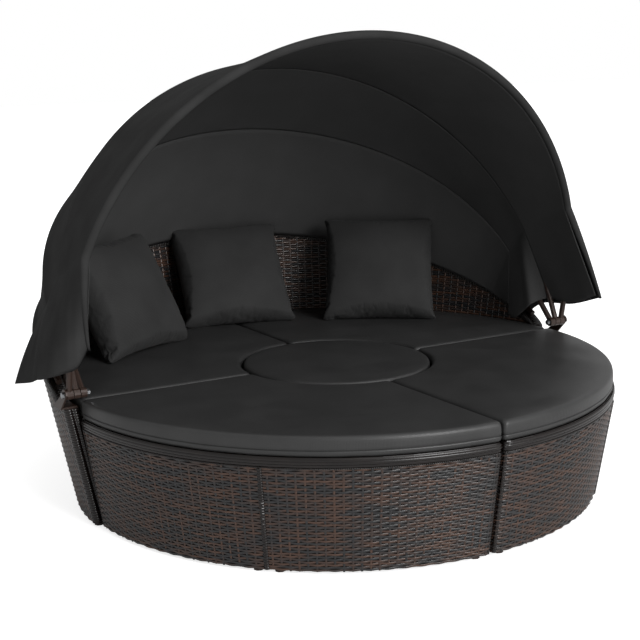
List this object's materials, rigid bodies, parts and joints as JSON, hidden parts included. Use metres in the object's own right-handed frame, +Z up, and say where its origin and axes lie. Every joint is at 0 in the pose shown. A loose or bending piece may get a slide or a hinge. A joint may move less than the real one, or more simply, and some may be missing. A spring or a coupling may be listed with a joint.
{
  "type": "outdoor daybed with canopy",
  "caption": "Round woven daybed in modules: half-ring sofa with curved backrest, quarter ottomans, round centre ottoman, cushions, pillows and a folding cloth canopy on hoops.",
  "frame": {"origin": "on the floor, under the middle of the whole object", "axes": "+Z up, the sitter looks along -Y, +X to the right of someone who faces the bed"},
  "size_m": [1.8712, 1.7734, 1.364],
  "materials": {
    "wicker": "mixed brown and grey-black flat polyethylene weave",
    "wrapped_wicker": "dark brown flat polyethylene strand, wrapped",
    "deck_weave": "plain woven webbing deck",
    "steel": "dark brown powder coat",
    "zinc": "zinc plated",
    "seat_fabric": "charcoal polyester with a slight sheen",
    "pillow_fabric": "charcoal polyester, matt",
    "canopy_fabric": "black woven canopy cloth"
  },
  "bodies": {
    "sofa": {"sofa_wicker_skin": "wicker", "sofa_rim_band": "wrapped_wicker", "sofa_deck": "deck_weave", "sofa_frame": "steel", "sofa_right_cushion": "seat_fabric", "sofa_left_cushion": "seat_fabric", "backrest_inner_skin": "wicker", "backrest_outer_skin": "wicker", "backrest_frame": "steel", "backrest_top_rail": "wrapped_wicker", "right_arm_trim": "wrapped_wicker", "left_arm_trim": "wrapped_wicker", "right_pillow": "pillow_fabric", "middle_pillow": "pillow_fabric", "left_pillow": "pillow_fabric", "right_canopy_bracket": "steel", "left_canopy_bracket": "steel", "right_pivot_bolt": "zinc", "right_pivot_nut": "zinc", "left_pivot_bolt": "zinc", "left_pivot_nut": "zinc", "canopy_rear_tube": "steel", "canopy_rear_clip_1": "zinc", "canopy_rear_clip_2": "zinc", "canopy_rear_clip_3": "zinc", "canopy_rear_clip_4": "zinc", "canopy_rear_clip_5": "zinc"},
    "canopy_third": {"canopy_third_hoop": "steel", "canopy_rear_cloth": "canopy_fabric"},
    "canopy_second": {"canopy_second_hoop": "steel", "canopy_middle_cloth": "canopy_fabric"},
    "canopy_front": {"canopy_front_hoop": "steel", "canopy_front_cloth": "canopy_fabric"},
    "left_ottoman": {"left_ottoman_wicker_skin": "wicker", "left_ottoman_rim_band": "wrapped_wicker", "left_ottoman_deck": "deck_weave", "left_ottoman_frame": "steel", "left_ottoman_cushion": "seat_fabric"},
    "right_ottoman": {"right_ottoman_wicker_skin": "wicker", "right_ottoman_rim_band": "wrapped_wicker", "right_ottoman_deck": "deck_weave", "right_ottoman_frame": "steel", "right_ottoman_cushion": "seat_fabric"},
    "centre_ottoman": {"centre_wicker_drum": "wicker", "centre_rim_band": "wrapped_wicker", "centre_deck": "deck_weave", "centre_frame": "steel", "centre_cushion": "seat_fabric"}
  },
  "joints": [
    {"name": "canopy_third_fold", "type": "hinge", "parent": "sofa", "child": "canopy_third", "pos_m": [0, -0.06709, 0.408], "axis": [-1, 0, 0], "range_deg": [0, 24], "deforming": ["canopy_rear_cloth"]},
    {"name": "canopy_second_fold", "type": "hinge", "parent": "canopy_third", "child": "canopy_second", "pos_m": [0, -0.06709, 0.408], "axis": [-1, 0, 0], "range_deg": [0, 17], "deforming": ["canopy_middle_cloth"]},
    {"name": "canopy_front_fold", "type": "hinge", "parent": "canopy_second", "child": "canopy_front", "pos_m": [0, -0.06709, 0.408], "axis": [-1, 0, 0], "range_deg": [0, 30], "deforming": ["canopy_front_cloth"]},
    {"name": "left_ottoman_out", "type": "slide", "parent": "sofa", "child": "left_ottoman", "axis": [-0.7071, -0.7071, 0], "range_m": [0, 0.6]},
    {"name": "right_ottoman_out", "type": "slide", "parent": "sofa", "child": "right_ottoman", "axis": [0.7071, -0.7071, 0], "range_m": [0, 0.6]},
    {"name": "centre_ottoman_lift", "type": "slide", "parent": "sofa", "child": "centre_ottoman", "axis": [0, 0, 1], "range_m": [0, 0.45]}
  ],
  "couplings": [
    {"joint": "canopy_third_fold", "follows": "canopy_front_fold", "ratio": 0.8},
    {"joint": "canopy_second_fold", "follows": "canopy_front_fold", "ratio": 0.566}
  ]
}
